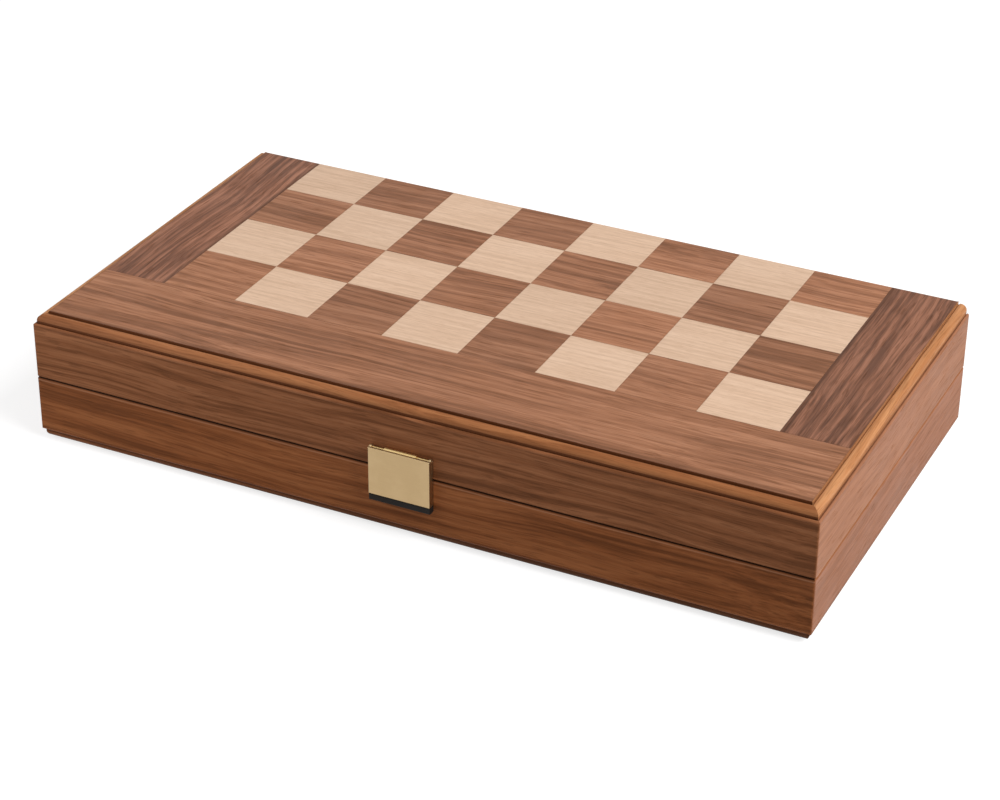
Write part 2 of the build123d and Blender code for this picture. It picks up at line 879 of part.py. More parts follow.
def save_chessmen():
    kinds = {"rook": rook, "knight": knight, "bishop": bishop, "queen": queen, "king": king}
    order = ["rook", "knight", "bishop", "queen", "king", "bishop", "knight", "rook"]
    feet_back = tray_half_depth - back_margin
    feet_front = feet_back - officers_row_depth
    pitch = (tray_half_length - chessmen_end_margin) / len(order)
    first_x = -pitch * (2 * len(order) - 1) / 2
    for set_number, colour in enumerate(("light", "dark")):
        for kind, make in kinds.items():
            man, foot, rest_radius, rest_height = make()
            with BuildPart() as group:
                for n, name in enumerate(order):
                    if name == kind:
                        heading = 1 if n % 2 == 0 else -1
                        x = first_x + (set_number * len(order) + n) * pitch
                        y = feet_back if heading > 0 else feet_front
                        with Locations(lying(foot, rest_radius, rest_height, x, y, heading)):
                            add(man.part)
            many = kind if kind in ("queen", "king") else f"{kind}s"
            save(group, f"{colour}_{many}")
        man, foot, rest_radius, rest_height = pawn()
        with BuildPart() as group:
            for n in range(len(order)):
                x = first_x + (set_number * len(order) + n) * pitch
                y = feet_front - row_gap
                with Locations(lying(foot, rest_radius, rest_height, x, y, 1)):
                    add(man.part)
        save(group, f"{colour}_pawns")


save_pair(panel(), "panel")
for name in ("front", "back", "left", "right"):
    save_pair(wall(name), f"{name}_wall")
for name in ("front", "left", "right"):
    save_pair(moulding(name), f"{name}_moulding")
save_pair(front_strip(), "front_strip")
save_pair(side_strip(-1), "left_strip")
save_pair(side_strip(1), "right_strip")
save_tray_floor()
save(squares(0, 0, 0), "base_light_squares")
save(squares(1, 0, 0), "base_dark_squares")
save(squares(1, total_height - veneer_thickness, -1), "lid_light_squares")
save(squares(0, total_height - veneer_thickness, -1), "lid_dark_squares")
save_hinges()
save_clasp()
save_counters_and_dice()
save_chessmen()
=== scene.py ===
import math

import bpy
from mathutils import Matrix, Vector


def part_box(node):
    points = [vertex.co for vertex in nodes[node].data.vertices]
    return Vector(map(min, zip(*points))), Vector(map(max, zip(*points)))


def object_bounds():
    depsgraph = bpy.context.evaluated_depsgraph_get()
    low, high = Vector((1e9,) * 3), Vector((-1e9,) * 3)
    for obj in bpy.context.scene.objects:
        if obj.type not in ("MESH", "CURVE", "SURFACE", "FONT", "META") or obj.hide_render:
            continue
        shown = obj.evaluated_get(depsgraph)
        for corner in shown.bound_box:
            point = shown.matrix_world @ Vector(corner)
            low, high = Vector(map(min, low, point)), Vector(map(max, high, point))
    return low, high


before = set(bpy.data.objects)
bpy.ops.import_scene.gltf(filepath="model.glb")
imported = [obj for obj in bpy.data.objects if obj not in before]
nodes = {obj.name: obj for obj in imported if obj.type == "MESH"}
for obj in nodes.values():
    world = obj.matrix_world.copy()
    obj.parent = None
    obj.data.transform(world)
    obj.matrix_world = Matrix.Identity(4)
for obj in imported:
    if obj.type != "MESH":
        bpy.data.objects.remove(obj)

# The looks of a folding games box: walnut and pale veneers, a gold flap clasp, brass hinges,
# turned chessmen, counters and dice. Metres. X runs left to right, Y front to back, Z up.

cad_low, cad_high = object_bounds()

# --- places read from the frame -----------------------------------------------------------
board_low, board_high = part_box("lid_light_squares")
strip_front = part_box("lid_front_strip")[0].y
board_columns = 8
points_per_end = 6
square = (board_high.x - board_low.x) / board_columns
tray_low, tray_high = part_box("base_playfield")
point_pitch = (tray_high.y - tray_low.y) / points_per_end
joint_height = (cad_low.z + cad_high.z) / 2
front_reach = -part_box("base_front_wall")[0].y
end_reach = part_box("base_right_wall")[1].x
dice_low, dice_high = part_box("dice")
die_size = dice_high.z - dice_low.z
dice_apart = dice_high.x - dice_low.x - die_size

# The moulding's grooves and shoulder, measured in from the wall's outer face and down from the
# tray's face; each pair is where a zone starts to show and where it is full.
# The quirk and the groove are painted dark brown: painted shade in these recesses.
quirk_in = (0.00475, 0.0051)
groove_starts = (0.0038, 0.0041)
groove_ends = (0.0056, 0.0052)
groove_in = (0.00085, 0.00105)
wall_starts = (0.0048, 0.0052)
# The joint between the trays, on the outer faces only, where a dark line of painted shade goes.
outer_face = (0.0012, 0.0007)
joint_line = (0.0008, 0.0003)
# Just below the joint the base's rim is painted lighter: a painted highlight on its rounded edge.
rim_below_joint = 0.0013
rim_line = (0.0006, 0.0001)
# The front bead turns browner, taking the wall's tones, from here towards the left end: partly the timber,
# partly painted shade.
brown_fade = (0.06, -0.19)
# Pips are sunk below a die's faces, clear of its rounded edges.
pip_sunk = (0.00004, 0.0001)
pip_field = (0.0042, 0.004)

# --- timber tones, darkest first, fitted to the photograph under the lamps below ----------------
walnut = ((0.23, 0.093, 0.043), (0.4, 0.172, 0.087), (0.52, 0.243, 0.133))
# The long walls are darker and redder than the end walls, and the base's walls differ from the lid's. This
# is partly the timber's own tone and partly painted light and shade: the end walls are painted lit and the
# long walls painted shaded.
lid_long_walls = ((0.15, 0.052, 0.019), (0.3, 0.11, 0.044), (0.43, 0.175, 0.078))
base_long_walls = ((0.155, 0.047, 0.013), (0.31, 0.1, 0.032), (0.43, 0.155, 0.055))
lid_end_walls = ((0.33, 0.137, 0.068), (0.388, 0.164, 0.083), (0.45, 0.195, 0.1))
base_end_walls = ((0.28, 0.112, 0.055), (0.342, 0.139, 0.07), (0.4, 0.165, 0.085))
band = ((0.11, 0.044, 0.024), (0.26, 0.108, 0.06), (0.45, 0.2, 0.118))
# The beads are one timber in two tones: the end beads' bright tone is painted light and the front bead's
# darker tone is painted shade.
lit_end_bead = ((0.43, 0.17, 0.06), (0.56, 0.246, 0.1), (0.68, 0.33, 0.145))
shaded_front_bead = ((0.27, 0.095, 0.032), (0.38, 0.142, 0.053), (0.48, 0.195, 0.075))
# The base's mouldings face down towards the floor; their near-black tone is painted shade.
shaded_foot_bead = ((0.1, 0.035, 0.012), (0.14, 0.05, 0.018), (0.2, 0.08, 0.03))
pale = ((0.71, 0.48, 0.33), (0.8, 0.55, 0.385), (0.86, 0.61, 0.44))
board_brown = (0.42, 0.29, 0.17)
pore_brown = (0.07, 0.026, 0.011)
pale_pore = (0.42, 0.25, 0.14)
groove_shade_brown = (0.12, 0.036, 0.012)
joint_shade_black = (0.03, 0.01, 0.004)
joint_shade_orange = (0.3, 0.105, 0.032)
pip_black = (0.012, 0.01, 0.009)
field_veneer = ((0.42, 0.235, 0.12), (0.5, 0.295, 0.16), (0.57, 0.35, 0.2))
dark_point_tones = ((0.1, 0.036, 0.018), (0.17, 0.064, 0.033), (0.25, 0.1, 0.054))
pale_man_tones = ((0.5, 0.31, 0.15), (0.62, 0.41, 0.21), (0.7, 0.49, 0.28))
dark_man_tones = ((0.05, 0.02, 0.011), (0.1, 0.042, 0.022), (0.17, 0.075, 0.04))


# --- node helpers ----------------------------------------------------------------------------------
def put(tree, kind, inputs=None, **settings):
    """Adds a node. Each input takes a value, or the socket that feeds it."""
    node = tree.nodes.new(kind)
    for name, value in settings.items():
        setattr(node, name, value)
    for name, value in (inputs or {}).items():
        if isinstance(value, bpy.types.NodeSocket):
            tree.links.new(value, node.inputs[name])
        else:
            node.inputs[name].default_value = value
    return node


def calc(tree, operation, first, second=0.0, third=0.0):
    """One step of arithmetic."""
    inputs = {0: first, 1: second, 2: third}
    return put(tree, "ShaderNodeMath", inputs, operation=operation).outputs[0]


def vector_calc(tree, operation, first, second):
    inputs = {0: first, 1: second}
    return put(tree, "ShaderNodeVectorMath", inputs, operation=operation).outputs[0]


def join_axes(tree, x, y, z):
    return put(tree, "ShaderNodeCombineXYZ", {"X": x, "Y": y, "Z": z}).outputs[0]


def noise(tree, vector, detail=2.0, roughness=0.5, distortion=0.0):
    """Cloudy noise one unit across; its Factor output lies mostly between 0.3 and 0.7."""
    inputs = {"Vector": vector, "Scale": 1.0, "Detail": detail, "Roughness": roughness,
              "Distortion": distortion}
    return put(tree, "ShaderNodeTexNoise", inputs)


def spread(tree, value, low, high, to_low=0.0, to_high=1.0):
    """Stretches a range of a value softly onto another, and stops at both ends."""
    inputs = {"Value": value, "From Min": low, "From Max": high, "To Min": to_low, "To Max": to_high}
    return put(tree, "ShaderNodeMapRange", inputs, interpolation_type="SMOOTHSTEP").outputs[0]


def mix_colours(tree, factor, first, second, blend_type="MIX"):
    node = put(tree, "ShaderNodeMix", None, data_type="RGBA", blend_type=blend_type)
    for index, value in ((0, factor), (6, first), (7, second)):
        if isinstance(value, bpy.types.NodeSocket):
            tree.links.new(value, node.inputs[index])
        else:
            node.inputs[index].default_value = value if index == 0 else (*value, 1.0)
    return node.outputs[2]


def tones(tree, factor, *stops):
    """A colour ramp through evenly spaced colours."""
    ramp = put(tree, "ShaderNodeValToRGB", {"Fac": factor}).color_ramp
    while len(ramp.elements) < len(stops):
        ramp.elements.new(1.0)
    for n, colour in enumerate(stops):
        ramp.elements[n].position = n / (len(stops) - 1)
        ramp.elements[n].color = (*colour, 1.0)
    return tree.nodes[-1].outputs["Color"]


def start_group(name, inputs, outputs):
    """A named node group with its sockets, and its two ends."""
    tree = bpy.data.node_groups.new(name, "ShaderNodeTree")
    for label, kind, value in inputs:
        socket = tree.interface.new_socket(label, in_out="INPUT", socket_type=f"NodeSocket{kind}")
        if value is not None:
            socket.default_value = value
    for label, kind in outputs:
        tree.interface.new_socket(label, in_out="OUTPUT", socket_type=f"NodeSocket{kind}")
    return tree, tree.nodes.new("NodeGroupInput").outputs, tree.nodes.new("NodeGroupOutput").inputs


def use_group(tree, group, **inputs):
    """Places a group in a material; an underscore in a name stands for a space."""
    node = tree.nodes.new("ShaderNodeGroup")
    node.node_tree = group
    for name, value in inputs.items():
        socket = node.inputs[name.replace("_", " ")]
        if isinstance(value, bpy.types.NodeSocket):
            tree.links.new(value, socket)
        else:
            socket.default_value = value
    return node.outputs


# --- shared effects --------------------------------------------------------------------------------
def timber_grain_group():
    """Streaks, fine fibres, pores and slow figure of timber whose grain runs along X."""
    tree, given, out = start_group(
        "timber grain",
        [("Vector", "Vector", None), ("Cut", "Float", 0.0), ("Streak Length", "Float", 0.11),
         ("Streak Width", "Float", 0.0034), ("Wander", "Float", 0.0035),
         ("Fibre Length", "Float", 0.016), ("Fibre Width", "Float", 0.00055)],
        [("Streaks", "Float"), ("Fibres", "Float"), ("Pores", "Float"), ("Figure", "Float")],
    )
    shift = join_axes(tree, calc(tree, "MULTIPLY", given["Cut"], 17.3),
                      calc(tree, "MULTIPLY", given["Cut"], 5.9),
                      calc(tree, "MULTIPLY", given["Cut"], 11.1))
    place = vector_calc(tree, "ADD", given["Vector"], shift)
    drift = noise(tree, vector_calc(tree, "MULTIPLY", place, (9.0, 26.0, 26.0)), detail=1.0)
    sway = vector_calc(tree, "SUBTRACT", drift.outputs["Color"], (0.5, 0.5, 0.5))
    across = calc(tree, "MULTIPLY", given["Wander"], 4.0)
    bend = vector_calc(tree, "MULTIPLY", sway, join_axes(tree, 0.0, across, across))
    bent = vector_calc(tree, "ADD", place, bend)

    streak_cell = join_axes(tree, given["Streak Length"], given["Streak Width"], given["Streak Width"])
    streaks = noise(tree, vector_calc(tree, "DIVIDE", bent, streak_cell), detail=4.0, roughness=0.62)
    tree.links.new(spread(tree, streaks.outputs["Fac"], 0.34, 0.66), out["Streaks"])

    fibre_cell = join_axes(tree, given["Fibre Length"], given["Fibre Width"], given["Fibre Width"])
    fibre_place = vector_calc(tree, "DIVIDE", bent, fibre_cell)
    fibres = noise(tree, fibre_place, detail=2.0, roughness=0.6)
    tree.links.new(spread(tree, fibres.outputs["Fac"], 0.32, 0.68), out["Fibres"])

    pore_place = vector_calc(tree, "MULTIPLY", fibre_place, (2.2, 1.15, 1.15))
    pores = noise(tree, vector_calc(tree, "ADD", pore_place, (31.0, 7.0, 19.0)), detail=0.0)
    tree.links.new(spread(tree, pores.outputs["Fac"], 0.6, 0.7), out["Pores"])

    figure = noise(tree, vector_calc(tree, "MULTIPLY", bent, (5.0, 42.0, 42.0)), detail=1.0)
    tree.links.new(spread(tree, figure.outputs["Fac"], 0.32, 0.68), out["Figure"])
    return tree


def cut_of_cell_group():
    """One steady random number for each cell of a grid, so that each square has its own cut."""
    tree, given, out = start_group(
        "cut of each cell",
        [("Vector", "Vector", None), ("Corner", "Vector", (0.0, 0.0, 0.0)),
         ("Cell", "Vector", (1.0, 1.0, 1.0))],
        [("Cut", "Float")],
    )
    place = vector_calc(tree, "SUBTRACT", given["Vector"], given["Corner"])
    number = vector_calc(tree, "FLOOR", vector_calc(tree, "DIVIDE", place, given["Cell"]), (0, 0, 0))
    pick = put(tree, "ShaderNodeTexWhiteNoise", {"Vector": number}, noise_dimensions="3D")
    tree.links.new(pick.outputs["Value"], out["Cut"])
    return tree


def rounded_edges_group():
    """How near an edge a point is, and a normal that turns softly over that edge."""
    tree, given, out = start_group(
        "rounded edges", [("Radius", "Float", 0.0005)], [("Edge", "Float"), ("Normal", "Vector")]
    )
    soft = put(tree, "ShaderNodeBevel", {"Radius": given["Radius"]}, samples=4).outputs["Normal"]
    true = tree.nodes.new("ShaderNodeNewGeometry").outputs["True Normal"]
    node = put(tree, "ShaderNodeVectorMath", {0: soft, 1: true}, operation="DOT_PRODUCT")
    tree.links.new(spread(tree, node.outputs["Value"], 0.995, 0.86), out["Edge"])
    tree.links.new(soft, out["Normal"])
    return tree


def handling_group():
    """Slow cloudy marks that hands leave in a finish."""
    tree, given, out = start_group(
        "handling marks", [("Vector", "Vector", None), ("Size", "Float", 0.03)], [("Marks", "Float")]
    )
    size = join_axes(tree, given["Size"], given["Size"], given["Size"])
    cloud = noise(tree, vector_calc(tree, "DIVIDE", given["Vector"], size), detail=3.0, roughness=0.6)
    tree.links.new(spread(tree, cloud.outputs["Fac"], 0.34, 0.66), out["Marks"])
    return tree


def outer_zones_group():
    """Where a moulding's quirk and groove take painted shade, where the wall begins, the joint line of
    painted shade, and the rim below it that takes a painted highlight.
    """
    tree, given, out = start_group(
        "outer zones",
        [("Vector", "Vector", None), ("Inset Axis", "Vector", (0.0, 1.0, 0.0)),
         ("Half Width", "Float", 0.1), ("Joint", "Float", 0.03), ("Fade", "Float", 0.0)],
        [("Grooves", "Float"), ("Wall", "Float"), ("Line", "Float"), ("Rim", "Float")],
    )
    parts = put(tree, "ShaderNodeSeparateXYZ", {"Vector": given["Vector"]}).outputs
    rise = calc(tree, "ABSOLUTE", calc(tree, "SUBTRACT", parts["Z"], given["Joint"]))
    depth = calc(tree, "SUBTRACT", given["Joint"], rise)
    across = vector_calc(tree, "MULTIPLY", given["Vector"], given["Inset Axis"])
    reach = put(tree, "ShaderNodeVectorMath", {0: across}, operation="LENGTH").outputs["Value"]
    inset = calc(tree, "SUBTRACT", given["Half Width"], reach)
    quirk = spread(tree, inset, *quirk_in)
    below = spread(tree, depth, *groove_starts)
    above = spread(tree, depth, *groove_ends)
    behind = spread(tree, inset, *groove_in)
    groove = calc(tree, "MULTIPLY", calc(tree, "MULTIPLY", below, behind), above)
    tree.links.new(calc(tree, "MAXIMUM", quirk, groove), out["Grooves"])
    # Towards the left end the front bead takes the wall's tones: partly the timber, partly painted shade.
    browner = calc(tree, "MULTIPLY", spread(tree, parts["X"], *brown_fade), given["Fade"])
    wall = spread(tree, depth, *wall_starts)
    tree.links.new(calc(tree, "MAXIMUM", wall, browner), out["Wall"])
    outside = spread(tree, inset, *outer_face)
    line = spread(tree, rise, *joint_line)
    tree.links.new(calc(tree, "MULTIPLY", line, outside), out["Line"])
    below_joint = calc(tree, "SUBTRACT", given["Joint"], parts["Z"])
    from_rim = calc(tree, "ABSOLUTE", calc(tree, "SUBTRACT", below_joint, rim_below_joint))
    rim = spread(tree, from_rim, *rim_line)
    tree.links.new(calc(tree, "MULTIPLY", rim, outside), out["Rim"])
    return tree


def band_edges_group():
    """How near the edges of a strip a point is, measured across it."""
    tree, given, out = start_group(
        "band edges",
        [("Vector", "Vector", None), ("Edge", "Vector", (0.0, 0.0, 0.0)),
         ("Across", "Vector", (1.0, 0.0, 0.0)), ("Width", "Float", 0.003)],
        [("Shade", "Float")],
    )
    offset = vector_calc(tree, "SUBTRACT", given["Vector"], given["Edge"])
    inputs = {0: offset, 1: given["Across"]}
    near = put(tree, "ShaderNodeVectorMath", inputs, operation="DOT_PRODUCT").outputs["Value"]
    near = calc(tree, "DIVIDE", calc(tree, "ABSOLUTE", near), given["Width"])
    tree.links.new(spread(tree, near, 1.0, 0.25), out["Shade"])
    return tree


def pips_group():
    """The sunk pips of two dice that lie square in the tray, one each side of a middle point."""
    tree, given, out = start_group(
        "pips",
        [("Vector", "Vector", None), ("Middle", "Vector", (0.0, 0.0, 0.0)), ("Apart", "Float", 0.024),
         ("Size", "Float", 0.011)],
        [("Pips", "Float")],
    )
    place = vector_calc(tree, "SUBTRACT", given["Vector"], given["Middle"])
    parts = put(tree, "ShaderNodeSeparateXYZ", {"Vector": place}).outputs
    half_apart = calc(tree, "MULTIPLY", given["Apart"], 0.5)
    x = calc(tree, "ABSOLUTE", calc(tree, "SUBTRACT", calc(tree, "ABSOLUTE", parts["X"]), half_apart))
    y = calc(tree, "ABSOLUTE", parts["Y"])
    z = calc(tree, "ABSOLUTE", parts["Z"])
    larger = calc(tree, "MAXIMUM", x, y)
    smaller = calc(tree, "MINIMUM", x, y)
    largest = calc(tree, "MAXIMUM", larger, z)
    second = calc(tree, "MAXIMUM", smaller, calc(tree, "MINIMUM", larger, z))
    sunk = calc(tree, "SUBTRACT", calc(tree, "MULTIPLY", given["Size"], 0.5), largest)
    below = spread(tree, sunk, *pip_sunk)
    flat = spread(tree, second, *pip_field)
    tree.links.new(calc(tree, "MULTIPLY", below, flat), out["Pips"])
    return tree


def brush_lines_group():
    """Fine straight lines of a brushed or turned metal, along X."""
    tree, given, out = start_group(
        "brush lines",
        [("Vector", "Vector", None), ("Length", "Float", 0.012), ("Width", "Float", 0.00012)],
        [("Lines", "Float")],
    )
    cell = join_axes(tree, given["Length"], given["Width"], given["Width"])
    lines = noise(tree, vector_calc(tree, "DIVIDE", given["Vector"], cell), detail=2.0)
    tree.links.new(spread(tree, lines.outputs["Fac"], 0.3, 0.7), out["Lines"])
    return tree


timber_grain = timber_grain_group()
cut_of_cell = cut_of_cell_group()
rounded_edges = rounded_edges_group()
handling = handling_group()
brush_lines = brush_lines_group()
outer_zones = outer_zones_group()
band_edges = band_edges_group()
pips = pips_group()


# --- finishes -----------------------------------------------------------------------------------------
streak_share = 0.74
pore_relief = 0.35
pore_height = 0.0001
lacquer_roughness = 0.28


def new_material(name):
    """An empty node material with its shader, and the place on the piece."""
    material = bpy.data.materials.new(name)
    material.use_nodes = True
    tree = material.node_tree
    tree.nodes.clear()
    shader = tree.nodes.new("ShaderNodeBsdfPrincipled")
    end = tree.nodes.new("ShaderNodeOutputMaterial")
    tree.links.new(shader.outputs["BSDF"], end.inputs["Surface"])
    place = tree.nodes.new("ShaderNodeTexCoord").outputs["Object"]
    return material, tree, shader, place


def turned(tree, place, grain):
    """The place with the grain's direction laid along X."""
    turns = {"x": (0.0, 0.0, 0.0), "y": (0.0, 0.0, -math.pi / 2), "z": (0.0, math.pi / 2, 0.0)}
    mapping = put(tree, "ShaderNodeMapping", {"Vector": place, "Rotation": turns[grain]})
    return mapping.outputs[0]


def timber(name, stops, grain="x", cells=None, cut=0.0, streak_length=0.16, streak_width=0.003,
           wander=0.0025, fibre_length=0.024, fibre_width=0.0006, fibre_depth=0.2, pore_depth=0.28,
           pore_colour=pore_brown, tone_spread=0.1, roughness=0.45, coat=0.02, edge_depth=0.35,
           edge_radius=0.0005, specular=0.1, zones=None, wall_stops=None, groove_depth=0.9,
           line_colour=joint_shade_black, line_depth=0.9, rim_highlight_depth=0.0, edge_line=None):
    """Lacquered timber: streaks through its tones, fibres and pores laid over them.

    cells gives each square or point its own cut, zones finds the joint and the moulding's parts,
    wall_stops are the tones below a moulding's shoulder, and edge_line is a dark line along an edge:
    a point on it, the way across it, its width and its depth.
    """
    material, tree, shader, place = new_material(name)
    along = turned(tree, place, grain)
    if cells:
        cut = use_group(tree, cut_of_cell, Vector=place, Corner=cells[0], Cell=cells[1])["Cut"]
    figure = use_group(tree, timber_grain, Vector=along, Cut=cut, Streak_Length=streak_length,
                       Streak_Width=streak_width, Wander=wander, Fibre_Length=fibre_length,
                       Fibre_Width=fibre_width)
    slow_figure = calc(tree, "MULTIPLY", figure["Figure"], 1.0 - streak_share)
    blend = calc(tree, "MULTIPLY_ADD", figure["Streaks"], streak_share, slow_figure)
    colour = tones(tree, blend, *stops)
    if zones:
        zone = use_group(tree, outer_zones, Vector=place, **zones)
    if wall_stops:
        colour = mix_colours(tree, zone["Wall"], colour, tones(tree, blend, *wall_stops))
    fibre_shade = calc(tree, "MULTIPLY", figure["Fibres"], fibre_depth)
    colour = mix_colours(tree, fibre_shade, colour, pore_colour)
    pore_shade = calc(tree, "MULTIPLY", figure["Pores"], pore_depth)
    colour = mix_colours(tree, pore_shade, colour, pore_colour)
    if cells:
        level = spread(tree, cut, 0.0, 1.0, 1.0 - tone_spread, 1.0 + tone_spread)
        inputs = {"Value": level, "Color": colour}
        colour = put(tree, "ShaderNodeHueSaturation", inputs).outputs["Color"]
    edges = use_group(tree, rounded_edges, Radius=edge_radius)
    # Darkens the timber towards its darkest tone near edges and in inner corners; in the corners this is
    # painted shade.
    edge_shade = calc(tree, "MULTIPLY", edges["Edge"], edge_depth)
    colour = mix_colours(tree, edge_shade, colour, stops[0])
    if edge_line:
        edge, across, width, depth = edge_line
        near = use_group(tree, band_edges, Vector=place, Edge=edge, Across=across, Width=width)["Shade"]
        colour = mix_colours(tree, calc(tree, "MULTIPLY", near, depth), colour, pore_brown)
    if wall_stops:
        # Painted shade in the moulding's quirk and groove.
        groove_shade = calc(tree, "MULTIPLY", zone["Grooves"], groove_depth)
        colour = mix_colours(tree, groove_shade, colour, groove_shade_brown)
    elif zones:
        # Painted highlight on the base's rim below the joint.
        rim = calc(tree, "MULTIPLY", zone["Rim"], rim_highlight_depth)
        colour = mix_colours(tree, rim, colour, walnut[2])
        # Painted shade in the joint between the trays.
        line = calc(tree, "MULTIPLY", zone["Line"], line_depth)
        colour = mix_colours(tree, line, colour, line_colour)
    tree.links.new(colour, shader.inputs["Base Color"])

    marks = use_group(tree, handling, Vector=place)["Marks"]
    rough = calc(tree, "MULTIPLY_ADD", marks, 0.07, roughness - 0.035)
    rough = calc(tree, "MULTIPLY_ADD", figure["Pores"], 0.15, rough)
    tree.links.new(rough, shader.inputs["Roughness"])
    relief = calc(tree, "MULTIPLY_ADD", figure["Pores"], -1.0,
                  calc(tree, "MULTIPLY", figure["Fibres"], -0.35))
    inputs = {"Height": relief, "Strength": pore_relief, "Distance": pore_height,
              "Normal": edges["Normal"]}
    bump = put(tree, "ShaderNodeBump", inputs)
    tree.links.new(bump.outputs["Normal"], shader.inputs["Normal"])
    shader.inputs["Specular IOR Level"].default_value = specular
    shader.inputs["Coat Weight"].default_value = coat
    shader.inputs["Coat Roughness"].default_value = lacquer_roughness
    return material


def metal(name, colour, shade, roughness, grain="x", line_length=0.012, line_width=0.00012,
          line_relief=0.12, highlight_edge_colour=None, edge_radius=0.0003):
    """Brushed or turned metal with cloudy handling marks and brighter edges; a given edge colour is a
    painted highlight.
    """
    material, tree, shader, place = new_material(name)
    along = turned(tree, place, grain)
    lines = use_group(tree, brush_lines, Vector=along, Length=line_length, Width=line_width)["Lines"]
    marks = use_group(tree, handling, Vector=place, Size=0.009)["Marks"]
    tone = mix_colours(tree, calc(tree, "MULTIPLY", marks, 0.35), colour, shade)
    tone = mix_colours(tree, calc(tree, "MULTIPLY", lines, 0.25), tone, shade)
    edges = use_group(tree, rounded_edges, Radius=edge_radius)
    tone = mix_colours(tree, calc(tree, "MULTIPLY", edges["Edge"], 0.5), tone, highlight_edge_colour or colour)
    tree.links.new(tone, shader.inputs["Base Color"])
    rough = calc(tree, "MULTIPLY_ADD", marks, 0.08, roughness - 0.04)
    rough = calc(tree, "MULTIPLY_ADD", lines, 0.08, rough)
    tree.links.new(rough, shader.inputs["Roughness"])
    inputs = {"Height": lines, "Strength": line_relief, "Distance": 0.00002, "Normal": edges["Normal"]}
    bump = put(tree, "ShaderNodeBump", inputs)
    tree.links.new(bump.outputs["Normal"], shader.inputs["Normal"])
    shader.inputs["Metallic"].default_value = 1.0
    return material


def moulded(name, colour, shade, roughness, grain_size, relief, coat=0.0, specular=0.5, spots=None):
    """Moulded or polished plastic with a fine even texture."""
    material, tree, shader, place = new_material(name)
    marks = use_group(tree, handling, Vector=place, Size=0.006)["Marks"]
    fine = use_group(tree, handling, Vector=place, Size=grain_size)["Marks"]
    tone = mix_colours(tree, marks, colour, shade)
    if spots:
        middle, apart, size = spots
        spot = use_group(tree, pips, Vector=place, Middle=middle, Apart=apart, Size=size)["Pips"]
        tone = mix_colours(tree, spot, tone, pip_black)
    tree.links.new(tone, shader.inputs["Base Color"])
    rough = calc(tree, "MULTIPLY_ADD", marks, 0.1, roughness - 0.05)
    tree.links.new(rough, shader.inputs["Roughness"])
    edges = use_group(tree, rounded_edges, Radius=0.0003)
    inputs = {"Height": fine, "Strength": relief, "Distance": 0.00003, "Normal": edges["Normal"]}
    bump = put(tree, "ShaderNodeBump", inputs)
    tree.links.new(bump.outputs["Normal"], shader.inputs["Normal"])
    shader.inputs["Coat Weight"].default_value = coat
    shader.inputs["Specular IOR Level"].default_value = specular
    return material


def dress(material, *names):
    """Gives CAD nodes their finish."""
    for name in names:
        for slot in nodes[name].material_slots:
            slot.material = material


square_cells = (board_low, (square, square, 1.0))
point_cells = ((-1.0, tray_low.y, -1.0), (1.0, point_pitch, 1.0))
fine_pale = dict(streak_length=0.05, streak_width=0.0016, wander=0.001, fibre_length=0.009,
                 fibre_width=0.0005, fibre_depth=0.16, pore_depth=0.16, pore_colour=pale_pore,
                 edge_depth=0.5)

light_square_wood = timber("pale oak squares", pale, cells=square_cells, tone_spread=0.03, **fine_pale)
dark_square_wood = timber("walnut squares", walnut, cells=square_cells, tone_spread=0.14)
front_zones = dict(Inset_Axis=(0.0, 1.0, 0.0), Half_Width=front_reach, Joint=joint_height, Fade=0.7)
end_zones = dict(Inset_Axis=(1.0, 0.0, 0.0), Half_Width=end_reach, Joint=joint_height)
smooth_grain = dict(fibre_depth=0.12, pore_depth=0.2, edge_depth=0.1, specular=0.08)
even_grain = dict(fibre_depth=0.1, pore_depth=0.16, specular=0.06)
front_edge = ((0.0, strip_front, 0.0), (0.0, 1.0, 0.0), 0.004, 0.3)
# Long walls, end walls, front moulding and end mouldings of each tray.
tones_of_half = {
    "base": (base_long_walls, base_end_walls, shaded_foot_bead, shaded_foot_bead),
    "lid": (lid_long_walls, lid_end_walls, shaded_front_bead, lit_end_bead),
}
for half, (long_tones, end_tones, front_tones, side_tones) in tones_of_half.items():
    number = 1.0 if half == "base" else 2.0
    rim_highlight_depth = 0.5 if half == "base" else 0.0
    dress(timber(f"walnut front strip {half}", walnut, cut=0.31 * number, edge_line=front_edge),
          f"{half}_front_strip")
    dress(timber(f"walnut long walls {half}", long_tones, cut=0.53 * number, zones=front_zones,
                 rim_highlight_depth=rim_highlight_depth, specular=0.06), f"{half}_front_wall", f"{half}_back_wall")
    dress(timber(f"walnut end walls {half}", end_tones, grain="y", cut=0.71 * number, zones=end_zones,
                 line_colour=joint_shade_orange, line_depth=0.7, **even_grain),
          f"{half}_left_wall", f"{half}_right_wall")
    for side, edge_x in (("left", board_low.x), ("right", board_high.x)):
        board_edge = ((edge_x, 0.0, 0.0), (1.0, 0.0, 0.0), 0.003, 0.62)
        end_band = timber(f"walnut {side} band {half}", band, grain="y", cut=0.17 * number,
                          streak_length=0.07, streak_width=0.0022, pore_depth=0.35,
                          edge_line=board_edge)
        dress(end_band, f"{half}_{side}_strip")
    dress(timber(f"front moulding {half}", front_tones, cut=0.43 * number, zones=front_zones,
                 wall_stops=long_tones, **smooth_grain), f"{half}_front_moulding")
    dress(timber(f"end mouldings {half}", side_tones, grain="y", cut=0.67 * number, zones=end_zones,
                 wall_stops=end_tones, groove_depth=0.3, **smooth_grain),
          f"{half}_left_moulding", f"{half}_right_moulding")
    dress(light_square_wood, f"{half}_light_squares")
    dress(dark_square_wood, f"{half}_dark_squares")
dress(timber("plain board", (board_brown, board_brown, pale[0])), "base_panel", "lid_panel")
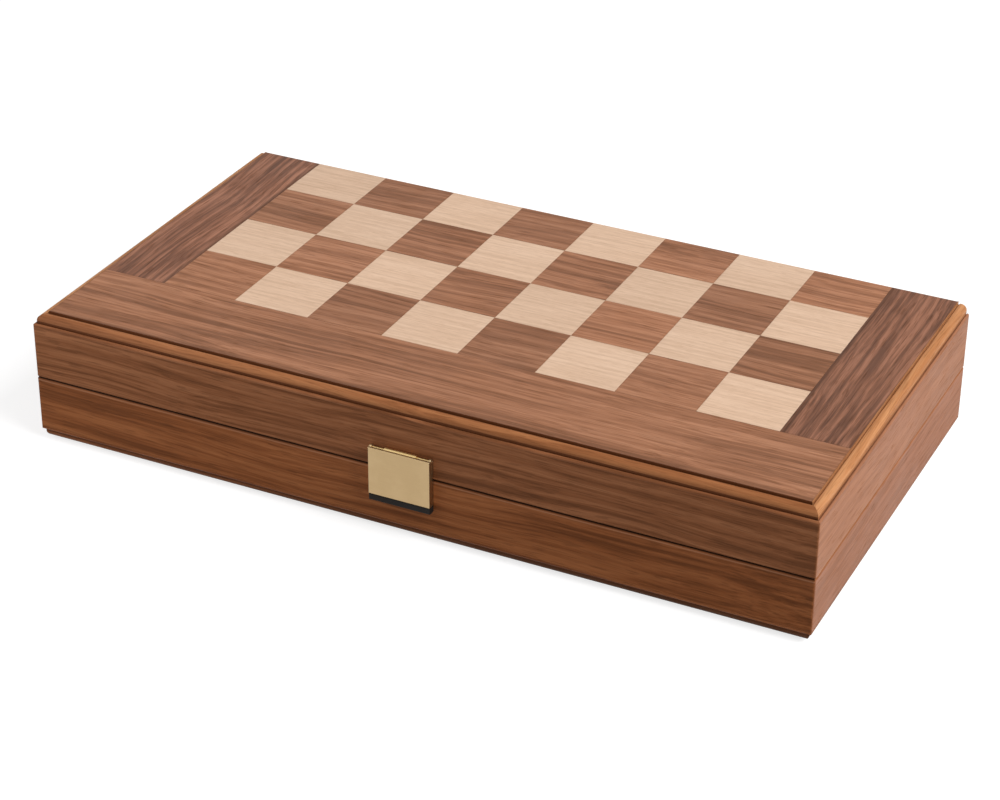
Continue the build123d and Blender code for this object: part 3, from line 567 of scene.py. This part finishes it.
dress(timber("tray field veneer", field_veneer, cut=0.9), "base_playfield", "lid_playfield")
pale_point = timber("pale points", pale, cells=point_cells, tone_spread=0.04, **fine_pale)
dress(pale_point, "base_light_points", "lid_light_points")
dark_point = timber("dark points", dark_point_tones, cells=point_cells, tone_spread=0.08)
dress(dark_point, "base_dark_points", "lid_dark_points")

hinge_brass = metal("hinge brass", (0.72, 0.53, 0.25), (0.52, 0.35, 0.14), 0.32)
dress(hinge_brass, "base_hinge_leaves", "lid_hinge_leaves", "hinge_pins", "clasp_backplate", "clasp_pin")
screw_brass = metal("screw brass", (0.66, 0.47, 0.22), (0.45, 0.3, 0.12), 0.36)
dress(screw_brass, "base_hinge_screws", "lid_hinge_screws", "clasp_screws", "catch_screws")
# The gold plate's cream edge colour is a painted highlight along its rounded edges.
clasp_gold = metal("satin gold plate", (0.455, 0.325, 0.175), (0.4, 0.28, 0.142), 0.34,
                   highlight_edge_colour=(0.85, 0.7, 0.45))
dress(clasp_gold, "clasp_cover")
black_catch = moulded("black catch", (0.01, 0.008, 0.007), (0.016, 0.012, 0.01), 0.6, 0.0004, 0.2,
                      specular=0.15)
dress(black_catch, "clasp_catch")
dress(metal("magnet plate", (0.5, 0.5, 0.52), (0.38, 0.38, 0.4), 0.3), "catch_magnet")

turned_values = dict(grain="y", streak_length=0.03, streak_width=0.0022, wander=0.001,
                     roughness=0.3, coat=0.3, edge_depth=0.15)
pale_man = timber("pale turned wood", pale_man_tones, pore_colour=pale_pore, fibre_depth=0.14,
                  pore_depth=0.15, **turned_values)
dark_man = timber("dark turned wood", dark_man_tones, fibre_depth=0.2, pore_depth=0.3, **turned_values)
for man in ("pawns", "rooks", "knights", "bishops", "queen", "king", "counters"):
    dress(pale_man, f"light_{man}")
    dress(dark_man, f"dark_{man}")
dice_spots = ((dice_low + dice_high) / 2, dice_apart, die_size)
dress(moulded("ivory dice", (0.78, 0.74, 0.64), (0.82, 0.79, 0.7), 0.22, 0.0006, 0.05, coat=0.4,
              spots=dice_spots), "dice")


# --- stage ----------------------------------------------------------------------------------------------
def seen_by_eye(tree):
    """One where the eye looks straight or by a mirror or glass, and nought for light on the box."""
    path = tree.nodes.new("ShaderNodeLightPath").outputs
    seen = calc(tree, "ADD", path["Is Camera Ray"], path["Is Glossy Ray"])
    return calc(tree, "MINIMUM", calc(tree, "ADD", seen, path["Is Transmission Ray"]), 1.0)


def white_from_camera(tree, lit, glow):
    """Adds a glow that only the eye, mirrors and glass see to a lit surface."""
    strength = calc(tree, "MULTIPLY", seen_by_eye(tree), glow)
    light = put(tree, "ShaderNodeEmission", {"Color": white, "Strength": strength})
    node = tree.nodes.new("ShaderNodeAddShader")
    tree.links.new(lit, node.inputs[0])
    tree.links.new(light.outputs[0], node.inputs[1])
    return node.outputs[0]


def floor():
    """A wide white floor that keeps the box's shadow and can't be seen from below."""
    bpy.ops.object.select_all(action="DESELECT")
    bpy.ops.mesh.primitive_plane_add(size=floor_size, location=(0.0, 0.0, cad_low.z - floor_gap))
    ground = bpy.context.object
    ground.name = "floor"
    material = bpy.data.materials.new("white floor")
    material.use_nodes = True
    tree = material.node_tree
    tree.nodes.clear()
    lit = put(tree, "ShaderNodeBsdfDiffuse", {"Color": (floor_grey, floor_grey, floor_grey, 1.0)})
    bright = white_from_camera(tree, lit.outputs[0], floor_glow)
    hidden = tree.nodes.new("ShaderNodeBsdfTransparent")
    side = tree.nodes.new("ShaderNodeNewGeometry").outputs["Backfacing"]
    both = tree.nodes.new("ShaderNodeMixShader")
    tree.links.new(side, both.inputs[0])
    tree.links.new(bright, both.inputs[1])
    tree.links.new(hidden.outputs[0], both.inputs[2])
    end = tree.nodes.new("ShaderNodeOutputMaterial")
    tree.links.new(both.outputs[0], end.inputs["Surface"])
    ground.data.materials.append(material)


def surroundings():
    """White to the eye, and an even low light on the box."""
    world = bpy.data.worlds.new("studio")
    bpy.context.scene.world = world
    world.use_nodes = True
    tree = world.node_tree
    tree.nodes.clear()
    strength = calc(tree, "MULTIPLY_ADD", seen_by_eye(tree), 1.0 - ambient_level, ambient_level)
    background = put(tree, "ShaderNodeBackground", {"Color": white, "Strength": strength})
    end = tree.nodes.new("ShaderNodeOutputWorld")
    tree.links.new(background.outputs[0], end.inputs["Surface"])


def softbox(name, azimuth, elevation, distance, size, level):
    """A square lamp that faces the box; level is how brightly white card beside the box shows."""
    lamp = bpy.data.lights.new(name, "AREA")
    lamp.shape = "SQUARE"
    lamp.size = size
    lamp.energy = level * math.pi ** 2 * distance ** 2
    holder = bpy.data.objects.new(name, lamp)
    bpy.context.scene.collection.objects.link(holder)
    around = Matrix.Rotation(math.radians(azimuth), 4, "Z")
    tilt = Matrix.Rotation(math.radians(90.0 - elevation), 4, "X")
    middle = (cad_low + cad_high) / 2
    holder.matrix_world = Matrix.Translation(middle) @ around @ tilt @ Matrix.Translation((0, 0, distance))


def camera():
    """The photograph's own view."""
    view = bpy.data.cameras.new("camera")
    view.sensor_fit = "HORIZONTAL"
    view.sensor_width = 36.0
    view.lens = camera_lens
    view.clip_start = 0.01
    view.clip_end = 50.0
    holder = bpy.data.objects.new("camera", view)
    bpy.context.scene.collection.objects.link(holder)
    around = Matrix.Rotation(math.radians(camera_azimuth), 4, "Z")
    tilt = Matrix.Rotation(math.radians(90.0 - camera_elevation), 4, "X")
    roll = Matrix.Rotation(math.radians(camera_roll), 4, "Z")
    holder.matrix_world = Matrix.Translation(camera_place) @ around @ tilt @ roll
    bpy.context.scene.camera = holder


camera_lens = 96.43
camera_place = (0.46795, -0.97915, 0.63688)
camera_azimuth = 25.621
camera_elevation = 29.712
camera_roll = 0.478
ambient_level = 0.22
floor_size = 12.0
floor_gap = 0.0002
floor_grey = 0.45
floor_glow = 0.75
white = (1.0, 1.0, 1.0, 1.0)

floor()
surroundings()
softbox("key", 86.0, 43.0, 3.0, 2.0, 1.09)
softbox("fill", -52.0, 20.0, 0.6, 0.4, 0.2)
camera()
bpy.context.scene.view_settings.view_transform = "Standard"
